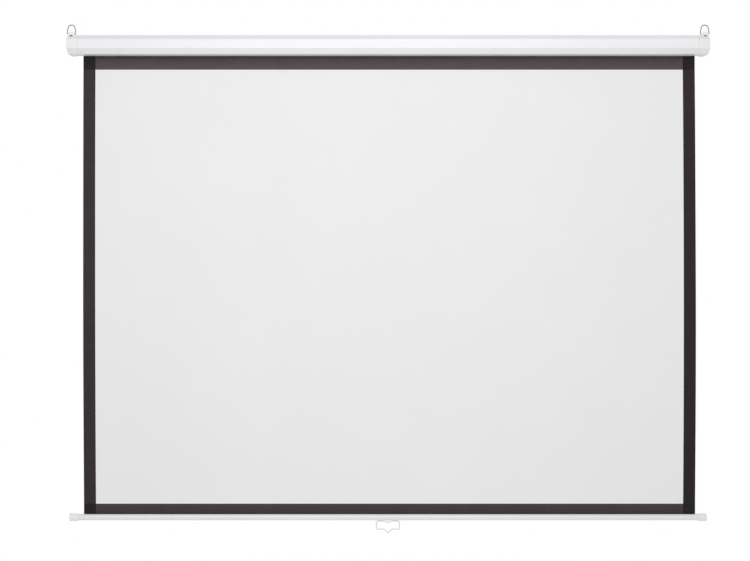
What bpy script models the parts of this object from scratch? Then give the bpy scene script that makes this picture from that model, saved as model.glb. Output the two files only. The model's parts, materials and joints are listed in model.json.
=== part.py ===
"""Pull-down projector screen: a long case with a sprung roller, the fabric that the roller pays
out, and the round bottom bar with its wire pull handle.

Metres, +Z up. +X runs to the right along the case, +Y points at the wall behind the screen.
The origin is the middle of the case's flat rear face. The screen is modelled pulled down.
"""

import math

import bmesh
import bpy
from mathutils import Vector

MM = 0.001

# Clearances
FIT = 0.3 * MM
THROUGH = 1.0 * MM

# Screen fabric
VIEW_WIDTH = 1705 * MM
VIEW_HEIGHT = 1258.3 * MM
SIDE_BAND = 35 * MM
TOP_BAND_BELOW_CASE = 38.5 * MM
BOTTOM_BAND = 30 * MM
FABRIC = 0.42 * MM
BAND_COAT = 0.1 * MM
BAND_START_BELOW_ROLLER = 10 * MM
TURNS_LEFT_ON_ROLLER = 2
WRAP_GAP = 0.2 * MM

# Roller
ROLLER_RADIUS = 18 * MM
ROLLER_WALL = 0.8 * MM
ROLLER_OVERHANG = 3 * MM
PLUG_DEPTH = 25 * MM
PLUG_FLANGE = 2.7 * MM

# Folded metal case
SHEET_METAL = 0.8 * MM
BEND_RADIUS = 2.5 * MM
SMALL_BEND = 0.9 * MM
BEVEL_HEIGHT = 14.2 * MM
BEVEL_DEPTH = 17 * MM
ROLL_CLEARANCE = 0.9 * MM
SPACE_BEHIND_ROLL = 4.9 * MM
SPACE_BEFORE_ROLL = 8.1 * MM
SLOT_BEFORE_FABRIC = 5 * MM
SLOT_LIP = 3 * MM
REAR_WALL_LIFT = 5 * MM
REAR_LIP = 4 * MM

# Moulded end caps
CAP_LENGTH = 31 * MM
CAP_SOLID_LENGTH = 15.5 * MM
CAP_TAPER = 1.2 * MM
CAP_EDGE = 1 * MM
END_WALL = 3.5 * MM
SPIGOT_LENGTH = 21 * MM
SPIGOT_WALL = 2 * MM
BOSS_LENGTH = 6.5 * MM
BOSS_RADIUS = 4.5 * MM

# Lug on each cap, and the slot at its foot
LUG_INSET = 10.5 * MM
LUG_FOOT_HALF = 10.2 * MM
LUG_TOP_HALF = 6.5 * MM
LUG_HEIGHT = 9.9 * MM
LUG_THICKNESS = 10 * MM
LUG_BEHIND_BEVEL = 3.5 * MM
LUG_CORNER = 2.5 * MM
LUG_ROOT = 2.4 * MM
FOOT_SLOT_WIDTH = 8.5 * MM
FOOT_SLOT_HEIGHT = 3.6 * MM
FOOT_SLOT_DROP = 2.4 * MM
FOOT_SLOT_DEPTH = 9 * MM

# Hanging rings
RING_WIRE = 1.4 * MM
RING_PIVOT_HEIGHT = 3.5 * MM
RING_FOOT_HALF = 12.1 * MM
RING_SHOULDER_HEIGHT = 7 * MM
RING_TOP_HALF = 9 * MM
RING_HEIGHT = 26 * MM
RING_TOP_BEND = 9.5 * MM
RING_FOOT_BEND = 2.2 * MM
RING_FOOT_END = 4.5 * MM

# Brackets and the latch at the left end
BRACKET = 1.5 * MM
BRACKET_SCREW_SPREAD = 14 * MM
SPINDLE_RADIUS = 3 * MM
SPINDLE_LENGTH = 290 * MM
TANG_THICKNESS = 2.6 * MM
TANG_FREE_LENGTH = 10 * MM
TANG_PAST_BRACKET = 3.3 * MM
COLLAR_RADIUS = 6.5 * MM
COLLAR_LENGTH = 4 * MM
NOTCH_DEPTH = 1.6 * MM
NOSE_ANGLE = math.radians(45)
NOTCH_BEFORE_NOSE = math.radians(5)
NOTCH_FLOOR = math.radians(16)
NOTCH_RAMP = math.radians(26)
CLIP_RING = 0.8 * MM
CLIP_RING_WIDTH = 2.2 * MM
LATCH_PLATE = 2.5 * MM
PAWL_REACH = 5 * MM
PAWL_THICKNESS = 3 * MM
PAWL_HALF_WIDTH = 1.1 * MM
PAWL_EYE_WALL = 1 * MM
PAWL_PIN_RADIUS = 1.5 * MM
PIN_HEAD = 0.8 * MM
NOSE_GAP = 0.4 * MM

# Torsion spring on the spindle
SPRING_WIRE = 0.9 * MM
SPRING_SEAT_RADIUS = 9.6 * MM
SPRING_SEAT_LENGTH = 22 * MM
SPRING_CURLS = 22

# Idler at the right end
IDLER_FREE_LENGTH = 11.2 * MM
IDLER_RADIUS = 3 * MM
IDLER_IN_PLUG = 16 * MM
IDLER_PAST_BRACKET = 2.3 * MM
BUSH_WALL = 1.6 * MM
BUSH_FLANGE = 1.2 * MM
BUSH_FLANGE_WIDTH = 2.1 * MM

# Bottom bar
BAR_RADIUS = 9 * MM
BAR_WALL = 1.2 * MM
BAR_SLOT = 3 * MM
BAR_PAST_CASE = 2.2 * MM
BAR_CAP_LENGTH = 25 * MM
BAR_CAP_WALL = 1 * MM
BAR_CAP_FLARE = 1.4 * MM
BAR_CAP_END = 3 * MM
BAR_CAP_EDGE = 2 * MM
HEM_ROD_RADIUS = 2.5 * MM
HEM_ABOVE_BAR = 0.5 * MM
HEM_SEAM_GAP = 0.12 * MM

# Pull handle and its clip
HANDLE_WIRE = 1.75 * MM
HANDLE_HALF_WIDTH = 33.2 * MM
HANDLE_DROP = 23.6 * MM
HANDLE_CORNER_ACROSS = 4.6 * MM
HANDLE_CORNER_DOWN = 3.1 * MM
HANDLE_POINT_HALF = 11.7 * MM
HANDLE_POINT_DROP = 10.7 * MM
HANDLE_BEND = 2.2 * MM
HANDLE_BELOW_BAR = 0.5 * MM
HANDLE_IN_CLIP = 8 * MM
CLIP_HALF_WIDTH = 12 * MM
CLIP_HALF_DEPTH = 5.5 * MM
CLIP_FLOOR = 1.6 * MM

# Screws: shank radius, head radius, head height and length under the head
SCREW_SHANK = 1.6 * MM
SCREW_HEAD_RADIUS = 3.4 * MM
SCREW_HEAD = 2 * MM
CAP_SCREW_LENGTH = 5 * MM
CAP_SCREW_INSET = 11 * MM
CLIP_SCREW_LENGTH = 9 * MM

# Worked out: radius of the full roll, and the roller's place in the case
DROP_BELOW_CASE = TOP_BAND_BELOW_CASE + VIEW_HEIGHT + BOTTOM_BAND
FABRIC_WIDTH = VIEW_WIDTH + 2 * SIDE_BAND
FULL_ROLL = math.sqrt(
    (ROLLER_RADIUS + FIT) ** 2
    + FABRIC * (DROP_BELOW_CASE + TURNS_LEFT_ON_ROLLER * math.tau * ROLLER_RADIUS) / math.pi
)
INNER_INSET = SHEET_METAL + FIT + SPIGOT_WALL
HALF_HEIGHT = FULL_ROLL + ROLL_CLEARANCE + INNER_INSET
ROLLER_Y = -(SHEET_METAL + SPACE_BEHIND_ROLL + FULL_ROLL)
CASE_DEPTH = SHEET_METAL + SPACE_BEHIND_ROLL + 2 * FULL_ROLL + SPACE_BEFORE_ROLL
WRAP_PITCH = FABRIC + WRAP_GAP
OUTER_WRAP = ROLLER_RADIUS + FIT + FABRIC / 2 + TURNS_LEFT_ON_ROLLER * WRAP_PITCH
FABRIC_Y = ROLLER_Y + OUTER_WRAP
SLOT_FRONT_Y = FABRIC_Y - SLOT_BEFORE_FABRIC
BEVEL_TOP_Y = -CASE_DEPTH + BEVEL_DEPTH

# Worked out: lengths along the case, stacked outwards from the fabric's edges
CAP_STACK = BRACKET + FIT + BOSS_LENGTH + END_WALL
LATCH_STACK = PLUG_FLANGE + LATCH_PLATE + COLLAR_LENGTH + CLIP_RING + 4 * FIT
LEFT_MARGIN = ROLLER_OVERHANG + LATCH_STACK + TANG_FREE_LENGTH + CAP_STACK
RIGHT_MARGIN = ROLLER_OVERHANG + FIT + PLUG_FLANGE + IDLER_FREE_LENGTH + CAP_STACK
HALF_LENGTH = (FABRIC_WIDTH + LEFT_MARGIN + RIGHT_MARGIN) / 2
FABRIC_LEFT = -HALF_LENGTH + LEFT_MARGIN
FABRIC_RIGHT = HALF_LENGTH - RIGHT_MARGIN
TUBE_LEFT = FABRIC_LEFT - ROLLER_OVERHANG
TUBE_RIGHT = FABRIC_RIGHT + ROLLER_OVERHANG
CAP_INNER_END = HALF_LENGTH - CAP_LENGTH
SLOT_END = HALF_LENGTH - CAP_SOLID_LENGTH
BOSS_FACE = HALF_LENGTH - END_WALL - BOSS_LENGTH
BRACKET_OUTER = BOSS_FACE - FIT
BRACKET_INNER = BRACKET_OUTER - BRACKET

# Worked out: lug and ring
LUG_X = HALF_LENGTH - LUG_INSET
LUG_FRONT_Y = BEVEL_TOP_Y - LUG_THICKNESS / 2 + LUG_BEHIND_BEVEL
LUG_Y = LUG_FRONT_Y + LUG_THICKNESS / 2
RING_PIVOT_Z = HALF_HEIGHT + RING_PIVOT_HEIGHT

# Worked out: bottom bar and handle
BAR_Z = -HALF_HEIGHT - DROP_BELOW_CASE - BAR_RADIUS
HEM_TOP = BAR_RADIUS + HEM_ABOVE_BAR
SHEET_BOTTOM = BAR_Z + HEM_TOP + FIT
BAR_HALF_LENGTH = HALF_LENGTH + BAR_PAST_CASE
BAR_TUBE_HALF = BAR_HALF_LENGTH - BAR_CAP_END - FIT
HANDLE_PIVOT = -(BAR_RADIUS + HANDLE_BELOW_BAR + HANDLE_WIRE)

ROUND_STEPS = 3
RING_BEND_STEPS = 5
TUBE_SIDES = 32
SMALL_SIDES = 20
WRAP_STEPS = 40
CURL_STEPS = 8


# Materials


def make_material(name, colour, roughness, metallic=0.0):
    """A plain Principled material."""
    material = bpy.data.materials.new(name)
    material.use_nodes = True
    shader = material.node_tree.nodes["Principled BSDF"]
    shader.inputs["Base Color"].default_value = (*colour, 1.0)
    shader.inputs["Roughness"].default_value = roughness
    shader.inputs["Metallic"].default_value = metallic
    material.diffuse_color = (*colour, 1.0)
    return material


# Outlines: lists of 2D points


def moved_right(points, distance):
    """An open path moved to its right by a distance, with mitred corners."""
    moved = []
    for index, point in enumerate(points):
        normals = []
        for start, end in ((index - 1, index), (index, index + 1)):
            if start >= 0 and end < len(points):
                step = (Vector(points[end]) - Vector(points[start])).normalized()
                normals.append(Vector((step.y, -step.x)))
        if len(normals) == 1:
            shift = normals[0]
        else:
            shift = (normals[0] + normals[1]) / (1 + normals[0].dot(normals[1]))
        moved.append(tuple(Vector(point) + shift * distance))
    return moved


def rounded(points, radii, closed=False, steps=ROUND_STEPS):
    """A path whose corners are arcs. radii is one radius, or one for each point."""
    count = len(points)
    if not isinstance(radii, (list, tuple)):
        radii = [radii] * count
    path = []
    for index, (point, radius) in enumerate(zip(points, radii)):
        if radius <= 0 or (not closed and index in (0, count - 1)):
            path.append(tuple(point))
            continue
        corner = Vector(point)
        back = Vector(points[index - 1]) - corner
        ahead = Vector(points[(index + 1) % count]) - corner
        opening = back.angle(ahead)
        reach = radius / math.tan(opening / 2)
        reach = min(reach, 0.48 * back.length, 0.48 * ahead.length)
        radius = reach * math.tan(opening / 2)
        to_centre = (back.normalized() + ahead.normalized()).normalized()
        centre = corner + to_centre * (radius / math.sin(opening / 2))
        start = corner + back.normalized() * reach - centre
        end = corner + ahead.normalized() * reach - centre
        turn = start.angle(end)
        for step in range(steps + 1):
            share = step / steps
            blend = start * math.sin((1 - share) * turn) + end * math.sin(share * turn)
            path.append(tuple(centre + blend / math.sin(turn)))
    return path


def arc(radius, start, end, steps, centre=(0.0, 0.0)):
    """Points on a circle from one angle to another, both included."""
    angles = [start + (end - start) * step / steps for step in range(steps + 1)]
    return [(centre[0] + radius * math.cos(a), centre[1] + radius * math.sin(a)) for a in angles]


def case_corners(inset=0.0):
    """The case's outline as (y, z) corners, from the rear bottom round the front to the rear top."""
    rear_bottom = (0.0, -HALF_HEIGHT)
    rear_top = (0.0, HALF_HEIGHT)
    corners = [
        rear_bottom,
        (BEVEL_TOP_Y, -HALF_HEIGHT),
        (-CASE_DEPTH, -HALF_HEIGHT + BEVEL_HEIGHT),
        (-CASE_DEPTH, HALF_HEIGHT - BEVEL_HEIGHT),
        (BEVEL_TOP_Y, HALF_HEIGHT),
        rear_top,
    ]
    return moved_right([rear_top, *corners, rear_bottom], inset)[1:-1]


def case_outline(inset=0.0, radius=BEND_RADIUS):
    """The case's closed outline, moved inwards by a distance, with rounded corners."""
    return rounded(case_corners(inset), radius, closed=True)


def strip(path, thickness, radius, inner_radius):
    """The closed outline of a folded strip whose left face follows a path."""
    left = rounded(path, radius)
    right = rounded(moved_right(path, thickness), inner_radius)
    return left + right[::-1]


# Bodies


def place(name, data, material, parent=None, location=(0.0, 0.0, 0.0)):
    """Adds an object to the scene, with its material, under a parent."""
    obj = bpy.data.objects.new(name, data)
    bpy.context.scene.collection.objects.link(obj)
    obj.parent = parent
    obj.location = location
    if material is not None:
        data.materials.append(material)
    return obj


def frame_at(name, location, parent=None):
    """An empty on a joint's axis, which carries the pieces that move with it."""
    empty = place(name, None, None, parent, location)
    empty.empty_display_size = 20 * MM
    return empty


def place_bmesh(name, bm, material, parent, location, smooth=False):
    """Adds a bmesh to the scene as an object with its faces pointing out."""
    bmesh.ops.recalc_face_normals(bm, faces=bm.faces)
    mesh = bpy.data.meshes.new(name)
    bm.to_mesh(mesh)
    bm.free()
    if smooth:
        mesh.shade_smooth()
        mesh.set_sharp_from_angle(angle=math.radians(35))
    return place(name, mesh, material, parent, location)


def loft(name, stations, material, parent=None, location=(0.0, 0.0, 0.0), axis="X"):
    """A body through outlines of equal length, each at its own place along an axis."""
    bm = bmesh.new()
    loops = []
    for along, outline in stations:
        if axis == "X":
            points = [(along, a, b) for a, b in outline]
        elif axis == "Y":
            points = [(a, along, b) for a, b in outline]
        else:
            points = [(a, b, along) for a, b in outline]
        loops.append([bm.verts.new(point) for point in points])
    count = len(loops[0])
    bm.faces.new(loops[0])
    bm.faces.new(loops[-1])
    for near, far in zip(loops, loops[1:]):
        for index in range(count):
            after = (index + 1) % count
            bm.faces.new((near[index], near[after], far[after], far[index]))
    return place_bmesh(name, bm, material, parent, location)


def prism(name, outline, low, high, material=None, parent=None, location=(0.0, 0.0, 0.0), axis="X"):
    """One outline drawn out along an axis."""
    return loft(name, [(low, outline), (high, outline)], material, parent, location, axis)


def block(name, x, y, z, material=None, parent=None, location=(0.0, 0.0, 0.0)):
    """A box between pairs of coordinates."""
    outline = [(y[0], z[0]), (y[1], z[0]), (y[1], z[1]), (y[0], z[1])]
    return prism(name, outline, x[0], x[1], material, parent, location)


def turned(
    name, profile, material=None, parent=None, location=(0.0, 0.0, 0.0), sides=SMALL_SIDES
):
    """A body turned about the X axis from (x, radius) points."""
    on_axis = profile[0][1] == 0
    bm = bmesh.new()
    verts = [bm.verts.new((x, 0.0, radius)) for x, radius in profile]
    edges = [bm.edges.new(pair) for pair in zip(verts, verts[1:])]
    if not on_axis:
        edges.append(bm.edges.new((verts[-1], verts[0])))
    bmesh.ops.spin(
        bm,
        geom=verts + edges,
        cent=(0.0, 0.0, 0.0),
        axis=(1.0, 0.0, 0.0),
        angle=math.tau,
        steps=sides,
        use_merge=True,
    )
    bmesh.ops.remove_doubles(bm, verts=bm.verts, dist=0.001 * MM)
    return place_bmesh(name, bm, material, parent, location, smooth=True)


def rod(name, x, radius, material=None, parent=None, location=(0.0, 0.0, 0.0), sides=SMALL_SIDES):
    """A round rod along X."""
    low, high = x
    profile = [(low, 0.0), (low, radius), (high, radius), (high, 0.0)]
    return turned(name, profile, material, parent, location, sides)


def sleeve(name, x, inner, outer, material=None, parent=None, sides=TUBE_SIDES):
    """A round sleeve along X."""
    low, high = x
    profile = [(low, inner), (low, outer), (high, outer), (high, inner)]
    return turned(name, profile, material, parent, sides=sides)


def wire(name, points, radius, material, parent, resolution=2):
    """A round wire through points, with filled ends."""
    curve = bpy.data.curves.new(name, "CURVE")
    curve.dimensions = "3D"
    curve.bevel_depth = radius
    curve.bevel_resolution = resolution
    curve.use_fill_caps = True
    spline = curve.splines.new("POLY")
    spline.points.add(len(points) - 1)
    for target, point in zip(spline.points, points):
        target.co = (*point, 1.0)
    return place(name, curve, material, parent)


def combine(body, tool, operation):
    """Cuts a hidden tool out of a body, or joins it on."""
    tool.hide_render = True
    tool.display_type = "WIRE"
    modifier = body.modifiers.new(tool.name, "BOOLEAN")
    modifier.operation = operation
    modifier.solver = "EXACT"
    modifier.object = tool
    return tool


def cut(body, tool):
    return combine(body, tool, "DIFFERENCE")


def join(body, tool):
    return combine(body, tool, "UNION")


def point_along(obj, direction):
    """Turns an object built along +X to point along a direction."""
    obj.rotation_mode = "QUATERNION"
    obj.rotation_quaternion = Vector((1.0, 0.0, 0.0)).rotation_difference(Vector(direction))


def ordered(side, near, far):
    """Two distances from the middle as low and high x on one side."""
    return (near, far) if side > 0 else (-far, -near)


def screw(name, seat, outward, length, material, parent=None):
    """A round-headed screw with a cross recess, its head's underside on a seat."""
    edge = SCREW_HEAD * 0.4
    profile = [
        (-length, 0.0),
        (-length + SCREW_SHANK / 2, SCREW_SHANK),
        (0.0, SCREW_SHANK),
        (0.0, SCREW_HEAD_RADIUS),
        (SCREW_HEAD - edge, SCREW_HEAD_RADIUS),
        (SCREW_HEAD, SCREW_HEAD_RADIUS - edge),
        (SCREW_HEAD, 0.0),
    ]
    body = turned(name, profile, material, parent, seat, sides=16)
    point_along(body, outward)
    recess = (SCREW_HEAD * 0.4, SCREW_HEAD + THROUGH)
    long_half = SCREW_HEAD_RADIUS * 0.55
    short_half = SCREW_HEAD_RADIUS * 0.15
    for letter, across, up in (("a", long_half, short_half), ("b", short_half, long_half)):
        arm = block(f"{name}_recess_{letter}", recess, (-across, across), (-up, up), parent=body)
        cut(body, arm)
    return body


def screw_hole(body, name, seat, outward, length, parent=None):
    """Clears a body round a screw's shank and head."""
    profile = [
        (-length - FIT, 0.0),
        (-length - FIT, SCREW_SHANK + FIT),
        (0.0, SCREW_SHANK + FIT),
        (0.0, SCREW_HEAD_RADIUS + FIT),
        (SCREW_HEAD + FIT, SCREW_HEAD_RADIUS + FIT),
        (SCREW_HEAD + FIT, 0.0),
    ]
    tool = turned(name, profile, parent=parent, location=seat, sides=16)
    point_along(tool, outward)
    return cut(body, tool)


# Case and end caps


def bevel_seat(side):
    """Where an end cap's screw sits: the middle of the lower bevel, and the way out of it."""
    x = side * (CAP_INNER_END - CAP_SCREW_INSET)
    seat = Vector((x, -CASE_DEPTH + BEVEL_DEPTH / 2, -HALF_HEIGHT + BEVEL_HEIGHT / 2))
    outward = Vector((0.0, -BEVEL_HEIGHT, -BEVEL_DEPTH)).normalized()
    return seat + outward * FIT, outward


def make_case(materials):
    """The long folded shell, open along its rear bottom edge where the fabric comes out."""
    path = [
        (SLOT_FRONT_Y, -HALF_HEIGHT + SLOT_LIP),
        (SLOT_FRONT_Y, -HALF_HEIGHT),
        *case_corners()[1:],
        (0.0, -HALF_HEIGHT + REAR_WALL_LIFT),
        (-REAR_LIP, -HALF_HEIGHT + REAR_WALL_LIFT),
    ]
    radii = [0, SMALL_BEND, *([BEND_RADIUS] * 5), SMALL_BEND, 0]
    inner = [max(radius - SHEET_METAL, 0.0) for radius in radii]
    outline = strip(path, SHEET_METAL, radii, inner)
    half = CAP_INNER_END - FIT
    shell = prism("case_shell", outline, -half, half, materials["case_paint"])
    for side, word in ((-1, "left"), (1, "right")):
        seat, outward = bevel_seat(side)
        name = f"case_shell_{word}_screw_hole"
        screw_hole(shell, name, seat, outward, CAP_SCREW_LENGTH)


def bracket_screw_seats(side):
    """Where a bracket's two screws sit on the end cap's outer face."""
    x = side * (HALF_LENGTH + FIT)
    return [Vector((x, ROLLER_Y, turn * BRACKET_SCREW_SPREAD)) for turn in (-1, 1)]


def bracket_screw_length():
    """From the cap's outer face through the bracket and a little past it."""
    return HALF_LENGTH - BRACKET_INNER + FIT + SCREW_SHANK


def make_cap_body(word, side, materials):
    """The cap's outer form: straight, then tapered, with a rounded end edge."""
    stations = [
        (side * CAP_INNER_END, case_outline()),
        (side * SLOT_END, case_outline()),
    ]
    for step in range(ROUND_STEPS + 1):
        angle = math.radians(90) * step / ROUND_STEPS
        x = HALF_LENGTH - CAP_EDGE * (1 - math.sin(angle))
        inset = CAP_TAPER + CAP_EDGE * (1 - math.cos(angle))
        stations.append((side * x, case_outline(inset)))
    return loft(f"{word}_end_cap", stations, materials["cap_plastic"])


def make_end_cap(word, side, materials):
    """One moulded end cap with its spigot, lug, bosses and slots."""
    cap = make_cap_body(word, side, materials)
    name = f"{word}_cap"

    corners = case_corners(SHEET_METAL + FIT)[1:-1]
    lower, upper = corners[0], corners[-1]
    path = [(ROLLER_Y, lower[1]), *corners, (ROLLER_Y, upper[1])]
    outline = strip(path, SPIGOT_WALL + THROUGH, BEND_RADIUS, BEND_RADIUS)
    x = ordered(side, CAP_INNER_END - SPIGOT_LENGTH, CAP_INNER_END + THROUGH)
    join(cap, prism(f"{name}_spigot", outline, *x))

    x = ordered(side, CAP_INNER_END - SPIGOT_LENGTH - THROUGH, HALF_LENGTH - END_WALL)
    cut(cap, prism(f"{name}_hollow", case_outline(INNER_INSET, SMALL_BEND), *x))

    root = HALF_HEIGHT - LUG_ROOT
    top = HALF_HEIGHT + LUG_HEIGHT
    corners = [
        (-LUG_FOOT_HALF, root),
        (-LUG_FOOT_HALF, HALF_HEIGHT),
        (-LUG_TOP_HALF, top),
        (LUG_TOP_HALF, top),
        (LUG_FOOT_HALF, HALF_HEIGHT),
        (LUG_FOOT_HALF, root),
    ]
    outline = rounded(corners, [0, 0, LUG_CORNER, LUG_CORNER, 0, 0], closed=True)
    lug_place = (side * LUG_X, LUG_Y, 0.0)
    half = LUG_THICKNESS / 2
    join(cap, prism(f"{name}_lug", outline, -half, half, location=lug_place, axis="Y"))

    x = ordered(side, BOSS_FACE, HALF_LENGTH - END_WALL + THROUGH)
    for number, seat in enumerate(bracket_screw_seats(side)):
        boss = rod(f"{name}_boss_{number}", x, BOSS_RADIUS, location=(0.0, seat.y, seat.z))
        join(cap, boss)
        outward = (side, 0.0, 0.0)
        hole = f"{name}_bracket_hole_{number}"
        screw_hole(cap, hole, seat, outward, bracket_screw_length())

    x = ordered(side, CAP_INNER_END - SPIGOT_LENGTH - THROUGH, SLOT_END)
    y = (SLOT_FRONT_Y, THROUGH)
    z = (-HALF_HEIGHT - THROUGH, -HALF_HEIGHT + REAR_WALL_LIFT)
    cut(cap, block(f"{name}_fabric_slot", x, y, z))

    bore = RING_WIRE + FIT
    x = (side * LUG_X - LUG_FOOT_HALF - THROUGH, side * LUG_X + LUG_FOOT_HALF + THROUGH)
    cut(cap, rod(f"{name}_ring_bore", x, bore, location=(0.0, LUG_Y, RING_PIVOT_Z)))

    make_foot_slot(cap, name, side)
    seat, outward = bevel_seat(side)
    screw_hole(cap, f"{name}_screw_hole", seat, outward, CAP_SCREW_LENGTH)


def make_foot_slot(cap, name, side):
    """The small slot through the upper bevel, at the lug's foot, and on under the lug."""
    slope = BEVEL_DEPTH / BEVEL_HEIGHT
    x = (-FOOT_SLOT_WIDTH / 2, FOOT_SLOT_WIDTH / 2)
    y = (-INNER_INSET - THROUGH, FOOT_SLOT_DEPTH)
    z = (-FOOT_SLOT_HEIGHT / 2, FOOT_SLOT_HEIGHT / 2)
    place_on_bevel = (
        side * LUG_X,
        BEVEL_TOP_Y - FOOT_SLOT_DROP * slope,
        HALF_HEIGHT - FOOT_SLOT_DROP,
    )
    cut(cap, block(f"{name}_foot_slot", x, y, z, location=place_on_bevel))


def make_cap_screw(word, side, materials):
    seat, outward = bevel_seat(side)
    screw(f"{word}_cap_screw", seat, outward, CAP_SCREW_LENGTH, materials["case_paint"])


# Brackets, spindle and latch


def make_bracket(word, side, materials):
    """The steel bracket inside an end cap, with its two screws through the cap's end."""
    outline = case_outline(INNER_INSET + FIT, SMALL_BEND)
    x = ordered(side, BRACKET_INNER, BRACKET_OUTER)
    plate = prism(f"{word}_bracket", outline, *x, materials["zinc_steel"])
    outward = (side, 0.0, 0.0)
    for seat, level in zip(bracket_screw_seats(side), ("lower", "upper")):
        length = bracket_screw_length()
        screw_hole(plate, f"{word}_bracket_{level}_hole", seat, outward, length)
        screw(f"{word}_{level}_bracket_screw", seat, outward, length, materials["zinc_steel"])
    return plate


def latch_stations():
    """Distances out from the middle to each piece of the latch at the left end."""
    flange = -TUBE_LEFT + FIT
    plate = flange + PLUG_FLANGE + FIT
    collar = plate + LATCH_PLATE + FIT
    clip = collar + COLLAR_LENGTH + FIT
    return {"flange": flange, "plate": plate, "collar": collar, "clip": clip}


def make_spindle(materials, bracket):
    """The fixed rod inside the roller, held by its flat end in the left bracket."""
    tang = latch_stations()["clip"] + CLIP_RING + FIT
    end = BRACKET_OUTER + TANG_PAST_BRACKET
    inner = end - SPINDLE_LENGTH
    place_y = (0.0, ROLLER_Y, 0.0)
    steel = materials["bright_steel"]
    spindle = rod("spring_spindle", (-end, -inner), SPINDLE_RADIUS, steel, location=place_y)
    for turn, word in ((-1, "front"), (1, "rear")):
        y = sorted((turn * TANG_THICKNESS / 2, turn * (SPINDLE_RADIUS + THROUGH)))
        z = (-SPINDLE_RADIUS - THROUGH, SPINDLE_RADIUS + THROUGH)
        x = (-end - THROUGH, -tang)
        cut(spindle, block(f"spindle_{word}_flat", x, y, z, location=place_y))
    half = SPINDLE_RADIUS + FIT
    y = (-TANG_THICKNESS / 2 - FIT, TANG_THICKNESS / 2 + FIT)
    x = ordered(-1, BRACKET_INNER - THROUGH, BRACKET_OUTER + THROUGH)
    cut(bracket, block("left_bracket_slot", x, y, (-half, half), location=place_y))
    return -inner


def notched_outline():
    """The collar's outline: round, with two notches whose far side is a ramp."""
    floor = COLLAR_RADIUS - NOTCH_DEPTH
    outline = []
    for half_turn in (0.0, math.pi):
        start = NOSE_ANGLE - NOTCH_BEFORE_NOSE + half_turn
        floor_end = start + NOTCH_FLOOR
        outline += arc(floor, start, floor_end, 2)
        outline += arc(COLLAR_RADIUS, floor_end + NOTCH_RAMP, start + math.pi, 9)
    return outline


def make_collar(materials):
    """The fixed collar that the pawls drop into."""
    x = latch_stations()["collar"]
    place_y = (0.0, ROLLER_Y, 0.0)
    x = ordered(-1, x, x + COLLAR_LENGTH)
    collar = prism("latch_collar", notched_outline(), *x, materials["zinc_steel"], None, place_y)
    bore = (x[0] - THROUGH, x[1] + THROUGH)
    cut(collar, rod("collar_bore", bore, SPINDLE_RADIUS + FIT, location=place_y))


def make_clip_ring(materials):
    """The open ring that keeps the collar on the spindle."""
    x = latch_stations()["clip"]
    gap = math.radians(35)
    inner = arc(SPINDLE_RADIUS + FIT, gap, math.tau - gap, 16)
    outer = arc(SPINDLE_RADIUS + FIT + CLIP_RING_WIDTH, gap, math.tau - gap, 16)
    x = ordered(-1, x, x + CLIP_RING)
    place_y = (0.0, ROLLER_Y, 0.0)
    prism("spindle_clip_ring", outer + inner[::-1], *x, materials["zinc_steel"], None, place_y)


def pawl_pivot():
    """Distance from the roller's axis to a pawl's pivot."""
    return COLLAR_RADIUS + PAWL_REACH


def pawl_outline():
    """A pawl about its pivot, its nose just clear of the collar over a notch."""
    eye = PAWL_PIN_RADIUS + FIT + PAWL_EYE_WALL
    reach = COLLAR_RADIUS + NOSE_GAP
    inner_corner = Vector((reach * math.cos(NOSE_ANGLE), reach * math.sin(NOSE_ANGLE)))
    to_corner = inner_corner - Vector((0.0, pawl_pivot()))
    spread = math.asin(PAWL_HALF_WIDTH / to_corner.length)
    heading = math.atan2(to_corner.y, to_corner.x) + spread
    along = Vector((math.cos(heading), math.sin(heading)))
    across = Vector((-along.y, along.x))
    length = to_corner.length * math.cos(spread)
    outline = arc(eye, heading + math.pi / 2, heading + 3 * math.pi / 2, 8)
    outline.append(tuple(along * length - across * PAWL_HALF_WIDTH))
    outline.append(tuple(along * length + across * PAWL_HALF_WIDTH))
    return outline


def make_latch_plate(roller_axis, materials):
    """The disc fixed to the left plug, with the two pivot pins that carry the pawls."""
    stations = latch_stations()
    near = stations["plate"]
    radius = pawl_pivot() + PAWL_PIN_RADIUS + FIT + PAWL_EYE_WALL
    x = ordered(-1, near, near + LATCH_PLATE)
    plate = sleeve("latch_plate", x, SPINDLE_RADIUS + FIT, radius, materials["zinc_steel"])
    plate.parent = roller_axis
    for letter, turn in (("a", 1), ("b", -1)):
        pivot = (0.0, 0.0, turn * pawl_pivot())
        hole = (x[0] - THROUGH, x[1] + THROUGH)
        tool = rod(
            f"latch_plate_hole_{letter}", hole, PAWL_PIN_RADIUS + FIT, None, roller_axis, pivot
        )
        cut(plate, tool)
        make_pawl(letter, turn, roller_axis, materials)


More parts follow.
